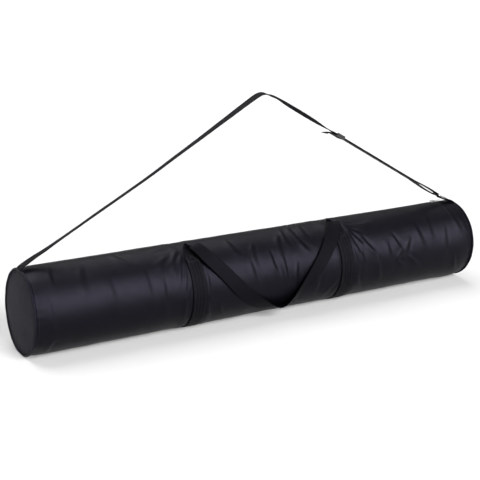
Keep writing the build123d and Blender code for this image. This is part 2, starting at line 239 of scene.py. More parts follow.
def woven_cloth(name, colour, roughness=0.40, thread=0.0009, sheen=0.0):
    """Plain-woven coated polyester: crossing threads, a slight mottle and rubbed high spots."""
    mix = Finish(name)
    across, along = mix.cloth_place()
    warp, weft = (across / thread).wave(), (along / thread).wave()
    checker = (across / (2 * thread) + along / (2 * thread)).wave()
    weave = warp * checker + weft * (1 - checker)
    room = mix.room_place()
    mottle = mix.speckle(room, 14.0, 4.0, 0.6)
    fine = mix.speckle(room, 420.0, 2.0, 0.7)
    rubbed = mix.speckle(room, 55.0, 3.0, 0.65)
    base = mix.mixed((mottle * 1.6 - 0.3).clipped(), shade(colour, 0.82), shade(colour, 1.16))
    base = mix.mixed((fine * 0.9 - 0.2).clipped() * 0.5, base, shade(colour, 1.35))
    base = mix.mixed(weave * 0.22, base, shade(colour, 0.6))
    rough = (roughness - 0.05) + rubbed * 0.12 + weave * 0.05
    soft = mix.bumped(mottle, 0.0009, 0.35)
    creped = mix.bumped(rubbed, 0.0004, 0.35, soft)
    normal = mix.bumped(weave, 0.00016, 0.55, creped)
    return mix.set(Base_Color=base, Roughness=rough, Normal=normal, IOR=1.18, Specular_IOR_Level=0.58,
                   Specular_Tint=(0.78, 0.74, 1.0, 1.0), Sheen_Weight=sheen, Sheen_Roughness=0.45)


def ribbed_webbing(name, colour, rib=0.0026):
    """Polypropylene webbing: lengthwise ribs of small slanting stitches, with fuzz at the edges."""
    mix = Finish(name)
    across, along = mix.cloth_place()
    ribs = (across / rib).wave()
    slant = (along / 0.0017 + across / (rib * 2)).wave()
    cross = (along / 0.0017 - across / (rib * 2)).wave()
    side = (across / (rib * 2)).wave() > 0.5
    twill = slant * side + cross * (1 - side)
    room = mix.room_place()
    fuzz = mix.speckle(room, 900.0, 2.0, 0.7)
    wear = mix.speckle(room, 30.0, 3.0, 0.6)
    base = mix.mixed(ribs * 0.75, shade(colour, 0.45), shade(colour, 1.25))
    base = mix.mixed(twill * 0.35, base, shade(colour, 1.75))
    base = mix.mixed((wear * 1.5 - 0.45).clipped() * 0.4, base, shade(colour, 1.9))
    rough = 0.5 + fuzz * 0.18 - ribs * 0.06
    deep = mix.bumped(ribs, 0.0004, 0.8)
    small = mix.bumped(twill, 0.00018, 0.7, deep)
    normal = mix.bumped(fuzz, 0.00008, 0.4, small)
    return mix.set(Base_Color=base, Roughness=rough, Normal=normal, IOR=1.2, Specular_IOR_Level=0.3,
                   Specular_Tint=(0.82, 0.79, 1.0, 1.0))


def sewing_thread(name, colour):
    """Twisted bonded thread."""
    mix = Finish(name)
    room = mix.room_place()
    twist = mix.speckle(room, 1600.0, 1.0, 0.5)
    base = mix.mixed(twist, shade(colour, 0.7), shade(colour, 1.6))
    return mix.set(Base_Color=base, Roughness=0.42 + twist * 0.15, Normal=mix.bumped(twist, 0.00006, 0.6),
                   Specular_IOR_Level=0.4)


def cast_metal(name, colour, roughness=0.24):
    """Plated zinc: bright, with fine scratches and duller hollows."""
    mix = Finish(name)
    room = mix.room_place()
    cloud = mix.speckle(room, 160.0, 4.0, 0.6)
    stretched = mix.add("ShaderNodeVectorMath", {"operation": "MULTIPLY"}, {0: room, 1: (900, 90, 2400)})
    scratch = mix.speckle(stretched, 1.0, 3.0, 0.75)
    base = mix.mixed((cloud * 1.4 - 0.2).clipped(), shade(colour, 0.72), shade(colour, 1.12))
    rough = (roughness - 0.06) + scratch * 0.16 + cloud * 0.08
    return mix.set(Base_Color=base, Metallic=1.0, Roughness=rough, Normal=mix.bumped(scratch, 0.00003, 0.3))


def moulded_plastic(name, colour):
    """Acetal moulding with a fine spark-eroded grain."""
    mix = Finish(name)
    room = mix.room_place()
    grain = mix.speckle(room, 2600.0, 2.0, 0.6)
    cloud = mix.speckle(room, 120.0, 3.0, 0.5)
    base = mix.mixed(cloud, shade(colour, 0.75), shade(colour, 1.5))
    return mix.set(Base_Color=base, Roughness=0.36 + grain * 0.1 + cloud * 0.08,
                   Normal=mix.bumped(grain, 0.00004, 0.5), Specular_IOR_Level=0.45)


def nylon_coil(name, colour):
    """Smooth nylon wire."""
    mix = Finish(name)
    cloud = mix.speckle(mix.room_place(), 300.0, 2.0, 0.5)
    base = mix.mixed(cloud, shade(colour, 0.8), shade(colour, 1.5))
    return mix.set(Base_Color=base, Roughness=0.28 + cloud * 0.12, Normal=mix.bumped(cloud, 0.00003, 0.3),
                   Specular_IOR_Level=0.5)


def open_foam(name, colour):
    """Grey padding foam with its open cells."""
    mix = Finish(name)
    room = mix.room_place()
    cells = mix.add("ShaderNodeTexVoronoi", {"feature": "F1"}, {"Vector": room, "Scale": 900.0}, 0)
    base = mix.mixed((cells * 1.4).clipped(), shade(colour, 0.4), shade(colour, 1.2))
    return mix.set(Base_Color=base, Roughness=0.85 + cells * 0.1, Normal=mix.bumped(cells, 0.0003, 0.8))


def floor_finish(name):
    """Pale seamless studio floor."""
    mix = Finish(name)
    room = mix.room_place()
    cloud = mix.speckle(room, 3.0, 3.0, 0.5)
    base = mix.mixed(cloud, (0.34, 0.34, 0.34), (0.37, 0.37, 0.37))
    return mix.set(Base_Color=base, Roughness=0.75 + cloud * 0.1, Specular_IOR_Level=0.1,
                   Emission_Color=(1, 1, 1, 1), Emission_Strength=0.18)


MAKES = {
    "outer_fabric": lambda c: woven_cloth("outer_fabric", c.fabric),
    # The round ends use the lighter end colour, which paints the side light on them.
    "end_fabric": lambda c: woven_cloth("end_fabric", c.end_fabric, 0.56),
    # The piping uses the same lighter colour: painted light where the piping lies in shade.
    "piping_fabric": lambda c: woven_cloth("piping_fabric", c.end_fabric, 0.5),
    "lining_fabric": lambda c: woven_cloth("lining_fabric", c.lining, 0.6),
    "foam": lambda c: open_foam("foam", (0.2, 0.2, 0.2)),
    "webbing": lambda c: ribbed_webbing("webbing", c.webbing),
    "zip_tape": lambda c: woven_cloth("zip_tape", shade(c.webbing, 1.1), 0.62, 0.0006),
    "thread": lambda c: sewing_thread("thread", c.thread),
    "zip_coil": lambda c: nylon_coil("zip_coil", shade(c.webbing, 1.2)),
    "zip_metal": lambda c: cast_metal("zip_metal", c.metal),
    "ring_metal": lambda c: cast_metal("ring_metal", c.metal, 0.2),
    "buckle_plastic": lambda c: moulded_plastic("buckle_plastic", c.plastic),
}


def finish_named(slot):
    """The material of that slot, mixed when it is first wanted."""
    material = bpy.data.materials.get(f"bag_{slot}")
    if material is None:
        material = MAKES[slot](bpy.context.scene.bag_colours)
        material.name = f"bag_{slot}"
    return material


# ---- Shapes ----
def piece(name, points, faces, slot, body=None, cloth=None):
    """A smooth mesh with the slot's finish. cloth gives each point its place on the flat cloth."""
    mesh = bpy.data.meshes.new(name)
    mesh.from_pydata(np.asarray(points, float).tolist(), [], [tuple(int(i) for i in f) for f in faces])
    mesh.validate()
    mesh.polygons.foreach_set("use_smooth", [True] * len(mesh.polygons))
    if cloth is not None:
        layer = mesh.uv_layers.new(name="cloth")
        corners = np.zeros(len(mesh.loops), np.int32)
        mesh.loops.foreach_get("vertex_index", corners)
        layer.data.foreach_set("uv", np.asarray(cloth, np.float32)[corners].ravel())
    thing = bpy.data.objects.new(name, mesh)
    bpy.context.scene.collection.objects.link(thing)
    mesh.materials.append(finish_named(slot))
    if body:
        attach(thing, body)
    return thing


def smooth(t):
    t = np.clip(t, 0.0, 1.0)
    return t * t * (3 - 2 * t)


def hump(distance, wide):
    return np.exp(-((distance / wide) ** 2))


def ripple(s, short, long, swing):
    """Uneven ripples along s, with both their lengths in millimetres."""
    return np.sin(s / (short * MM) + swing * np.sin(s / (long * MM)))


def curve_through(stations, per_span):
    """A smooth line through rows of numbers."""
    rows = np.asarray(stations, float)
    rows = np.vstack([2 * rows[0] - rows[1], rows, 2 * rows[-1] - rows[-2]])
    out = []
    for a, b, c, d in zip(rows[:-3], rows[1:-2], rows[2:-1], rows[3:]):
        for t in np.arange(per_span) / per_span:
            out.append(0.5 * (2 * b + (c - a) * t + (2 * a - 5 * b + 4 * c - d) * t * t
                              + (3 * b - a - 3 * c + d) * t ** 3))
    out.append(rows[-2])
    return np.array(out)


def unit(v):
    return v / np.maximum(np.linalg.norm(v, axis=-1, keepdims=True), 1e-12)


def lengths_along(points):
    return np.concatenate([[0], np.cumsum(np.linalg.norm(np.diff(points, axis=0), axis=1))])


def around(x, phi, radius):
    """A point at x along the tube, phi degrees in front of its top."""
    angle = np.radians(phi)
    return np.stack([x + 0 * angle, -radius * np.sin(angle), AXIS + radius * np.cos(angle)], axis=-1)


def outward(phi):
    angle = np.radians(phi)
    return np.stack([0 * angle, -np.sin(angle), np.cos(angle)], axis=-1)


def rested(points, floor):
    """Points eased up where the tube's weight flattens its underside."""
    z = points[..., 2] - floor
    ease = 1.4 * MM
    points[..., 2] = floor + 0.5 * (z + np.sqrt(z * z + ease * ease))
    return points


def leaned(points):
    """The ends lean a little, because the soft tube sags between its seams."""
    x, z = points[..., 0], (points[..., 2] - AXIS) / RADIUS
    left = smooth((-x - HALF + 70 * MM) / (70 * MM))
    right = smooth((x - HALF + 60 * MM) / (60 * MM))
    points[..., 0] = x + 4.5 * MM * z * left + 1.5 * MM * z * right
    return points


def grid_faces(rows, columns, closed=False):
    """Faces of a grid of rows by columns of points, closed along the columns if asked."""
    a = np.arange(rows - 1)[:, None] * columns
    last = columns if closed else columns - 1
    j = np.arange(last)[None, :]
    k = (j + 1) % columns
    return np.stack([a + j, a + k, a + columns + k, a + columns + j], -1).reshape(-1, 4).tolist()


def capped(faces, rows, sides):
    """The faces of a rod, with its two ends closed."""
    return [*faces, list(range(sides)), [(rows - 1) * sides + i for i in reversed(range(sides))]]


def cloth_grid(across, along):
    return np.stack(np.broadcast_arrays(across, along), -1).reshape(-1, 2)


def section_of(width, thickness, across=14):
    """Outline of a webbing's cross-section: flat faces and rounded edges."""
    flat = np.linspace(-0.5, 0.5, across) * (width - thickness)
    turn = np.linspace(-90, 90, 5)[1:-1]
    edge = np.stack([np.cos(np.radians(turn)), np.sin(np.radians(turn))], -1) * thickness / 2
    right = edge + [flat[-1], 0]
    top = np.stack([flat[::-1], flat * 0 + thickness / 2], -1)
    left = np.stack([-edge[::-1, 0], edge[::-1, 1]], -1) + [flat[0], 0]
    bottom = np.stack([flat, flat * 0 - thickness / 2], -1)
    return np.vstack([bottom, right, top, left])


def ribbon(name, middle, widthwise, width, thickness, slot, body=None, curl=0.0):
    """Webbing along a middle line, with widthwise giving the direction of its width at each point."""
    middle = np.asarray(middle, float)
    along = unit(np.gradient(middle, axis=0))
    widthwise = unit(widthwise - (widthwise * along).sum(-1, keepdims=True) * along)
    face = np.cross(along, widthwise)
    outline = section_of(width, thickness)
    lift = curl * ((outline[:, 0] / (width / 2)) ** 2 - 0.4)
    rows = (middle[:, None] + widthwise[:, None] * outline[None, :, :1]
            + face[:, None] * (outline[None, :, 1:] + lift[None, :, None]))
    count = len(outline)
    faces = [f[::-1] for f in grid_faces(len(middle), count, True)]
    faces = capped(faces, len(middle), count)
    cloth = cloth_grid(outline[None, :, 0], lengths_along(middle)[:, None])
    return piece(name, rows.reshape(-1, 3), faces, slot, body, cloth)


def stitch_mesh(places, along, outwards, long, thick):
    """Points and faces of short rounded stitches."""
    sides = 6
    rings = ((-0.5, 0.35, -0.5), (-0.36, 1.0, 0.2), (0.0, 1.0, 0.55), (0.36, 1.0, 0.2), (0.5, 0.35, -0.5))
    turn = np.arange(sides) * math.tau / sides
    sideways = np.cross(along, outwards)
    points = []
    for share, fat, high in rings:
        centre = places + along * long * share + outwards * thick * high
        for t in turn:
            points.append(centre + (sideways * math.cos(t) + outwards * math.sin(t)) * thick / 2 * fat)
    points = np.stack(points, 1)
    each = len(rings) * sides
    single = []
    for a in range(0, each - sides, sides):
        single += [[a + i, a + (i + 1) % sides, a + sides + (i + 1) % sides, a + sides + i]
                   for i in range(sides)]
    single += [list(reversed(range(sides))), [each - sides + i for i in range(sides)]]
    return points.reshape(-1, 3), single, each


def sampled(places, run, line):
    """The line's rows at those lengths along it."""
    return np.stack([np.interp(places, run, line[:, k]) for k in range(3)], -1)


def stitches(name, lines, body=None, long=STITCH_LENGTH, thick=STITCH_THICKNESS):
    """Rows of stitches, each row a line of points and the outward direction at each point."""
    pitch = bpy.context.scene.bag_sizes.stitch_pitch
    all_points, all_faces, base = [], [], 0
    for line, outs in lines:
        run = lengths_along(line)
        places = np.arange(pitch / 2, run[-1], pitch)
        out = unit(sampled(places, run, outs))
        along = unit(sampled(places + pitch / 8, run, line) - sampled(places - pitch / 8, run, line))
        points, single, each = stitch_mesh(sampled(places, run, line), along, out, long, thick)
        for i in range(len(places)):
            all_faces += [[base + i * each + k for k in f] for f in single]
        all_points.append(points)
        base += len(points)
    return piece(name, np.vstack(all_points), all_faces, "thread", body)


# ---- The fabric's folds ----
# Each fold: where it starts and ends (millimetres along the tube, degrees in front of its top),
# how wide it is and how far it stands out, in millimetres.
FOLDS = (
    (228, 22, 262, 44, 7, 1.5), (230, 28, 262, 62, 7, 1.9), (229, 34, 250, 78, 7, 1.6),
    (228, 42, 240, 92, 6, 1.2), (232, 20, 285, 34, 8, 1.3), (262, 48, 292, 76, 9, 1.9),
    (252, 66, 262, 98, 8, 1.2), (246, 22, 310, 24, 9, 1.0), (98, -14, 78, 26, 9, 1.8),
    (82, 22, 98, 54, 9, 1.7), (120, -2, 112, 34, 8, 1.0), (60, 8, 52, 44, 9, 1.0),
    (-4, 46, 6, 84, 10, 1.6), (28, 56, 34, 98, 9, 1.5), (62, 68, 58, 108, 9, 1.4),
    (40, 20, 20, 60, 12, 1.2), (-40, 30, -52, 66, 11, 1.1), (-62, 52, -50, 90, 9, 1.1),
    (-96, 14, -88, 44, 11, 1.0), (130, 84, 118, 118, 9, 1.3), (352, 52, 372, 78, 9, 1.7),
    (372, 76, 356, 92, 9, 1.5), (360, 92, 396, 104, 9, 1.5), (396, 86, 434, 106, 9, 1.4),
    (404, 60, 384, 80, 9, 1.2), (330, 60, 342, 100, 11, 1.1), (300, 80, 312, 120, 10, 1.1),
    (430, 40, 446, 84, 12, 1.0), (480, 30, 470, 70, 12, 0.8), (520, 50, 512, 96, 10, 0.8),
    (558, 20, 566, 70, 9, 0.8), (540, 96, 562, 130, 9, 0.8), (-232, 20, -262, 48, 8, 1.4),
    (-231, 32, -252, 74, 8, 1.4), (-230, 54, -242, 96, 7, 1.2), (-231, 78, -240, 120, 7, 1.2),
    (-180, 62, -172, 104, 8, 1.1), (-182, 98, -168, 134, 8, 1.0), (-262, 26, -300, 44, 10, 1.0),
    (-240, 8, -290, 10, 9, 0.9), (-386, 4, -354, 32, 12, 1.3), (-330, 44, -322, 96, 13, 0.9),
    (-292, 60, -286, 112, 11, 1.0), (-420, 50, -410, 100, 14, 0.8), (-470, 20, -486, 66, 14, 0.8),
    (-540, 12, -552, 44, 10, 0.9), (-566, 60, -556, 110, 10, 0.8), (-560, 116, -570, 150, 10, 0.9),
    (180, 100, 150, 132, 9, 1.0), (236, 100, 262, 134, 9, 1.1), (-150, 108, -120, 140, 10, 1.0),
    (60, 120, 90, 150, 10, 1.1), (-230, -60, -268, -90, 8, 1.4), (-232, -70, -250, -120, 8, 1.3),
    (228, -62, 268, -92, 8, 1.4), (230, -72, 246, -124, 8, 1.3), (-182, -62, -150, -96, 9, 1.2),
    (182, -60, 150, -92, 9, 1.2), (20, -50, -10, -104, 11, 1.4), (90, -60, 110, -120, 11, 1.2),
    (-90, -56, -70, -112, 11, 1.2), (400, -60, 370, -110, 11, 1.2),
    (-400, -56, -440, -116, 12, 1.2), (500, -70, 530, -130, 10, 1.0),
    (-520, -66, -540, -126, 10, 1.0), (330, -90, 300, -140, 10, 1.0),
    (-330, -84, -350, -140, 10, 1.0),
)


def low_waves(x, s, seed, count, longest, shortest, slant):
    """Soft unevenness: a sum of long waves with set phases."""
    chance = np.random.RandomState(seed)
    total = np.zeros_like(x)
    for _ in range(count):
        long = math.exp(chance.uniform(math.log(shortest), math.log(longest)))
        turn = chance.normal(0.0, slant)
        way = x * math.cos(turn) + s * math.sin(turn)
        total += np.sin(way * math.tau / long + chance.uniform(0, math.tau))
    return total / math.sqrt(count)


def fabric_rise(x, phi):
    """How far the fabric stands out from the plain round tube, in metres."""
    depth = bpy.context.scene.bag_sizes.fold_depth
    s = np.radians(phi) * RADIUS
    wrapped = (phi + 180) % 360 - 180
    round_s = np.radians(wrapped) * RADIUS
    rise = 0.55 * MM * low_waves(x, s, 5, 14, 0.42, 0.12, 0.5)
    rise += 0.22 * MM * low_waves(x, s, 8, 18, 0.11, 0.045, 0.55)
    for x0, p0, x1, p1, wide, high in FOLDS:
        a = np.array([x0 * MM, math.radians(p0) * RADIUS])
        b = np.array([x1 * MM, math.radians(p1) * RADIUS])
        way = (b - a) / np.linalg.norm(b - a)
        long = np.linalg.norm(b - a)
        u, v = x - a[0], round_s - a[1]
        along, off = (u * way[0] + v * way[1]) / long, u * way[1] - v * way[0]
        off = off + 0.06 * long * np.sin(along * 3.1)
        taper = smooth((along + 0.15) / 0.4) * smooth((1.25 - along) / 0.7)
        wide = wide * MM * (0.5 + 0.45 * np.clip(along, 0, 1))
        shape = hump(off, wide) - 0.7 * hump(off - 1.35 * wide, 0.9 * wide)
        rise += high * MM * depth * taper * shape
    for side in (-1, 1):
        far = np.abs(x - side * BAND) - BAND_WIDTH / 2
        puckers = ripple(s, 5.5, 31, 2.0) * (0.6 + 0.4 * np.sin(s / (47 * MM) + side))
        rise += 0.5 * MM * puckers * hump(far - 3 * MM, 9 * MM) * (far > 0)
        rise += 0.9 * MM * hump(far - 12 * MM, 10 * MM)
        rise *= smooth((far + 3 * MM) / (7 * MM))
        rise -= 0.7 * MM * hump(np.clip(far, 0, 1), 3 * MM)
    end_gap = HALF - np.abs(x)
    rise += 0.35 * MM * ripple(s, 4.2, 23, 1.7) * hump(end_gap - 6 * MM, 9 * MM)
    rise += 1.1 * MM * hump(end_gap - 48 * MM, 28 * MM)
    rise -= 3.0 * MM * hump(end_gap, 15 * MM)
    from_zip = np.abs(((phi - ZIP + 180) % 360 - 180)) * math.pi / 180 * RADIUS
    rise *= smooth(from_zip / (20 * MM)) * 0.85 + 0.15
    rise -= 0.5 * MM * hump(from_zip - SEAM_OFF_ZIP, 1.0 * MM)
    return rise


def fabric_point(x, phi, inset=0.0):
    """A point of the bag's outer surface, or that far inside it."""
    points = around(x, phi, RADIUS + fabric_rise(x, phi) - inset)
    return leaned(rested(points, FABRIC_FLOOR + inset))


def mouth_reach(x, half_width, closes_at):
    """Half the opening between the lips at x, closing to nothing beyond the zip."""
    return half_width * smooth((closes_at + 9 * MM - np.abs(x)) / (12 * MM)) + 0.25 * MM


def open_tube(name, inset, thickness, mouth, closes_at, half, step, slot):
    """A layer of the tube, open along the zip: a closed skin with an outer and an inner face."""
    columns = int(round(2 * half / step)) + 1
    rows = int(round(math.tau * RADIUS / step)) + 1
    x = np.linspace(-half, half, columns)[None, :] * np.ones((rows, 1))
    reach = mouth_reach(x, mouth, closes_at) / RADIUS * 180 / math.pi
    share = np.linspace(0, 1, rows)[:, None]
    phi = ZIP + reach + share * (360 - 2 * reach)
    outer = fabric_point(x, phi, inset)
    inner = fabric_point(x, phi, inset + thickness)
    count = rows * columns
    faces = grid_faces(rows, columns)
    back = [[count + i for i in reversed(f)] for f in faces]
    ring = ([(0, j) for j in range(columns)] + [(i, columns - 1) for i in range(1, rows)]
            + [(rows - 1, j) for j in range(columns - 2, -1, -1)]
            + [(i, 0) for i in range(rows - 2, 0, -1)])
    edge = [i * columns + j for i, j in ring]
    rim = [[a, count + a, count + b, b] for a, b in zip(edge, edge[1:] + edge[:1])]
    cloth = cloth_grid(x, np.radians(phi) * RADIUS)
    points = np.vstack([outer.reshape(-1, 3), inner.reshape(-1, 3)])
    thing = piece(name, points, faces + back + rim, slot, "bag", np.vstack([cloth, cloth]))
    return thing


def face_outward(thing):
    """Makes every face's normal point out of the closed skin."""
    work = bmesh.new()
    work.from_mesh(thing.data)
    bmesh.ops.recalc_face_normals(work, faces=work.faces)
    work.to_mesh(thing.data)
    work.free()


def round_panel(name, side, inset, rim_x, crown, thickness, slot):
    """A round end of the bag: a crowned disc that puckers at its sewn edge."""
    rings, sectors = 46, 180
    radius = (RADIUS - inset) * 0.985
    share = ((np.arange(1, rings + 1) / rings) ** 0.8)[:, None]
    turn = np.arange(sectors) * 360 / sectors
    r = radius * share * np.ones((1, sectors))
    phi = turn[None, :] * np.ones((rings, 1))
    s = np.radians(phi) * radius
    swell = crown * (1 - share ** 2.4) + 0 * phi
    y, z = -r * np.sin(np.radians(phi)), r * np.cos(np.radians(phi))
    swell += 0.5 * MM * low_waves(y, z, 21 + side, 9, 0.16, 0.05, 2.0) * (1 - share ** 6)
    swell += 0.3 * MM * ripple(s, 3.6, 19, 2) * hump(1 - share, 0.07)
    swell -= 1.0 * MM * hump(share - 0.965, 0.012)
    points = []
    for offset in (0.0, thickness):
        layer = around(side * (rim_x + swell - offset), phi, r)
        centre = around(np.array([side * (rim_x + crown - offset)]), np.array([0.0]), np.array([0.0]))
        layer = leaned(rested(layer, FABRIC_FLOOR + inset))
        points += [leaned(centre), layer.reshape(-1, 3)]
    points = np.vstack(points)
    count = 1 + rings * sectors
    faces = [[1 + i, 1 + (i + 1) % sectors, 0] for i in range(sectors)]
    faces += [[a + 1 for a in f] for f in grid_faces(rings, sectors, True)]
    back = [[count + i for i in reversed(f)] for f in faces]
    last = count - sectors
    rim = [[last + i, last + (i + 1) % sectors, count + last + (i + 1) % sectors, count + last + i]
           for i in range(sectors)]
    cloth = points[:, 1:3]
    thing = piece(name, points, faces + back + rim, slot, "bag", cloth)
    face_outward(thing)
    return thing


def tube_ring(name, side, x, radius, thick, slot):
    """Covered piping round one end: a soft rope of rolled cloth."""
    sectors, sides = 260, 14
    phi = np.arange(sectors) * 360 / sectors
    s = np.radians(phi) * radius
    fat = thick * (1 + 0.05 * ripple(s, 7, 29, 1))
    turn = np.radians(np.arange(sides) * 360 / sides)
    r = radius + fat[:, None] * np.cos(turn)[None, :]
    along = side * (x + fat[:, None] * np.sin(turn)[None, :])
    points = around(along, phi[:, None] * np.ones((1, sides)), r)
    points = leaned(rested(points, FABRIC_FLOOR - 0.4 * MM))
    faces = []
    for i in range(sectors):
        this, following = i * sides, ((i + 1) % sectors) * sides
        faces += [[this + j, this + (j + 1) % sides, following + (j + 1) % sides, following + j]
                  for j in range(sides)]
    cloth = cloth_grid(turn[None, :] * thick, s[:, None])
    thing = piece(name, points.reshape(-1, 3), faces, slot, "bag", cloth)
    face_outward(thing)
    return thing


def add_lamp(name, kind, towards, energy):
    lamp = bpy.data.lights.new(name, kind)
    lamp.energy = energy
    thing = bpy.data.objects.new(name, lamp)
    thing.rotation_euler = Vector(towards).to_track_quat("Z", "Y").to_euler()
    bpy.context.scene.collection.objects.link(thing)
    return thing


# ---- Operators ----
class BAG_OT_stage(bpy.types.Operator):
    """Make the floor, the lights and the camera"""

    bl_idname = "bag.stage"
    bl_label = "Stage"

    def execute(self, context):
        scene = context.scene
        scene.view_settings.view_transform = "Standard"
        world = bpy.data.worlds.new("studio")
        world.use_nodes = True
        world.node_tree.nodes["Background"].inputs["Color"].default_value = (1, 1, 1, 1)
        world.node_tree.nodes["Background"].inputs["Strength"].default_value = 0.22
        scene.world = world
        reach = 14.0
        mesh = bpy.data.meshes.new("floor")
        corners = [(-reach, -reach, 0), (reach, -reach, 0), (reach, reach, 0), (-reach, reach, 0)]
        mesh.from_pydata(corners, [], [(0, 1, 2, 3)])
        floor = bpy.data.objects.new("floor", mesh)
        floor.location.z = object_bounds()[0].z - 0.0002
        scene.collection.objects.link(floor)
        mesh.materials.append(floor_finish("pale_floor"))
        floor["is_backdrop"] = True
        for name, towards, wide, power in (
            ("front_light", (0.24, -0.84, 0.49), 34.0, 7.6),
            ("top_light", (-0.1, 0.5, 1.0), 60.0, 4.0),
        ):
            add_lamp(name, "SUN", towards, power).data.angle = math.radians(wide)
        side = add_lamp("side_light", "AREA", (-1.7, -0.7, 0.7), 16.0)
        side.data.shape, side.data.size = "DISK", 0.8
        side.location = (-2.3, -0.7, 0.8)
        lens = bpy.data.cameras.new("camera")
        lens.lens, lens.sensor_width = 90.0, 36.0
        camera = bpy.data.objects.new("camera", lens)
        place, aim = Vector((-1.404, -2.424, 1.01875)), Vector((-0.0428, 0.0, 0.18335))
        camera.location = place
        camera.rotation_euler = (aim - place).to_track_quat("-Z", "Y").to_euler()
        scene.collection.objects.link(camera)
        scene.camera = camera
        return {"FINISHED"}


class BAG_OT_tube(bpy.types.Operator):
    """Sew the outer tube with its folds, its padding and its lining"""

    bl_idname = "bag.tube"
    bl_label = "Tube"

    def execute(self, context):
        step = context.scene.bag_sizes.fabric_step
        # name, depth under the surface, thickness, half the mouth, where it closes, half length,
        # mesh step, slot, node
        for name, inset, thick, mouth, closes, half, spacing, slot, node in (
            ("bag_outer_fabric", 0.0, 1.2 * MM, 7 * MM, ZIP_END, HALF, step, "outer_fabric", "outer_shell"),
            ("bag_padding", 2.6 * MM, 4.2 * MM, INNER_MOUTH, INNER_ZIP_END, HALF - 2 * MM, 4 * step, "foam",
             "foam_padding"),
            ("bag_lining", 7.4 * MM, 0.8 * MM, INNER_MOUTH, INNER_ZIP_END, HALF - 4 * MM, 3 * step,
             "lining_fabric", "inner_lining"),
        ):
            layer = open_tube(name, inset, thick, mouth, closes, half, spacing, slot)
            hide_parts(node)
            face_outward(layer)
        lines = []
        x = np.linspace(-SEAM_HALF, SEAM_HALF, 500)
        for off in (-SEAM_OFF_ZIP, SEAM_OFF_ZIP):
            phi = ZIP + np.degrees(off / RADIUS) + 0 * x
            lines.append((fabric_point(x, phi, -0.1 * MM), outward(phi)))
        stitches("zip_seam_stitches", lines, "bag")
        return {"FINISHED"}


class BAG_OT_ends(bpy.types.Operator):
    """Make the round ends with their piping and stitching"""

    bl_idname = "bag.ends"
    bl_label = "Round ends"

    def execute(self, context):
        for side, word in ((-1, "left"), (1, "right")):
            # name, inset from the tube's surface, depth behind the edge, crown, thickness, slot, fill, node
            for name, inset, depth, crown, thick, slot, fill, node in (
                ("end_cover", 4.3, 0.0, (DOME - PANEL_EDGE) / MM, 1.2, "end_fabric", 0.55, "end_panel"),
                ("end_padding", 8.5, 3.0, 2.6, 3.4, "foam", 0.5, "end_foam"),
                ("end_inner_cloth", 9.5, 7.2, 2.4, 0.8, "lining_fabric", 0.4, "end_lining"),
            ):
                panel = round_panel(f"{word}_{name}", side, inset * MM, PANEL_EDGE - depth * MM, crown * MM,
                                    thick * MM, slot)
                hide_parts(f"{word}_{node}")
            piping = tube_ring(f"{word}_piping_roll", side, PANEL_EDGE - 0.4 * MM, RADIUS - 2.4 * MM,
                               PIPING, "piping_fabric")
            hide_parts(f"{word}_piping")
            lines = []
            phi = np.linspace(0, 360, 400)
            ring = around(side * (HALF - 5.5 * MM) + 0 * phi, phi, RADIUS - 2.1 * MM)
            ring = leaned(rested(ring, FABRIC_FLOOR))
            lines.append((ring, outward(phi)))
            face = around(side * (PANEL_EDGE + 1.4 * MM) + 0 * phi, phi, RADIUS - 8.6 * MM)
            face = leaned(rested(face, FABRIC_FLOOR + 5 * MM))
            lines.append((face, np.tile([side, 0.0, 0.0], (len(phi), 1))))
            stitches(f"{word}_end_stitches", lines, "bag")
        return {"FINISHED"}


# Each place on a handle: millimetres along the tube, degrees in front of its top, height above the
# bands, turn of the webbing's width from the tube's axis towards the top, and its tilt off the tube.
FRONT_ROOT_LEFT = ((LEFT_BAND, 42, SEWN, 0, 0), (-203.5, 34, -0.8, 1, 0), (-201.5, 27, -0.3, 3, 0),
                   (-197.5, 21, 1.6, 6, 0), (-193.5, 18.8, 4.8, 9, 0))
FRONT_RUN = (
    (-193.5, 18.8, 4.8, 9, 0), (-190, 19.8, 8.4, 12, 0), (-185.5, 24.5, 10.6, 16, 0),
    (-178, 33, 9.6, 23, 0), (-166.5, 43.5, 6.4, 30, 0), (-151, 54, 3.6, 36, 0),
    (-129, 69, 1.7, 41, 0), (-104, 85.5, 1.4, 43, 0), (-79, 100, 1.6, 41, 3),
    (-54, 112, 2.0, 38, 8), (-30, 121.5, 3.0, 38, 16), (-7, 128, 4.8, 47, 28),
    (15, 130.5, 6.2, 68, 38), (36, 128, 6.0, 96, 36), (56, 119.5, 4.8, 118, 26),
    (74, 107.5, 3.8, 129, 17), (93, 94, 3.2, 134, 12), (115, 80.5, 3.0, 137, 10),
    (140, 65.5, 3.0, 139, 10), (164, 50.5, 3.0, 142, 10), (184, 37, 3.2, 146, 9),
    (199, 25, 3.6, 151, 7), (208, 16.5, 4.0, 157, 4), (211.5, 12.4, 3.8, 162, 1),
    (212, 10.6, 2.8, 166, 0),
)
FRONT_ROOT_RIGHT = ((212, 10.6, 2.8, 166, 0), (211, 11.4, 1.2, 170, 0), (208.5, 15, 0.0, 175, 0),
                    (206.5, 22, -0.7, 179, 0), (RIGHT_BAND, 30, SEWN, 180, 0))


def webbing_line(stations, per_span, side=1):
    """Middle line and width directions of webbing from its places on the tube; side -1 is the back."""
    rows = curve_through(stations, per_span)
    x, phi, height, turn, tilt = rows.T
    phi = side * phi
    turn, tilt = np.radians(turn), np.radians(tilt)
    out = outward(phi)
    upward = np.stack([0 * phi, np.cos(np.radians(phi)) * side, np.sin(np.radians(phi)) * side], -1)
    middle = rested(around(x * MM, phi, WEBBING_BED + height * MM), WEBBING_FLOOR)
    lying = np.cos(turn)[:, None] * np.array([1.0, 0, 0]) + np.sin(turn)[:, None] * upward
    return middle, np.cos(tilt)[:, None] * lying + np.sin(tilt)[:, None] * out


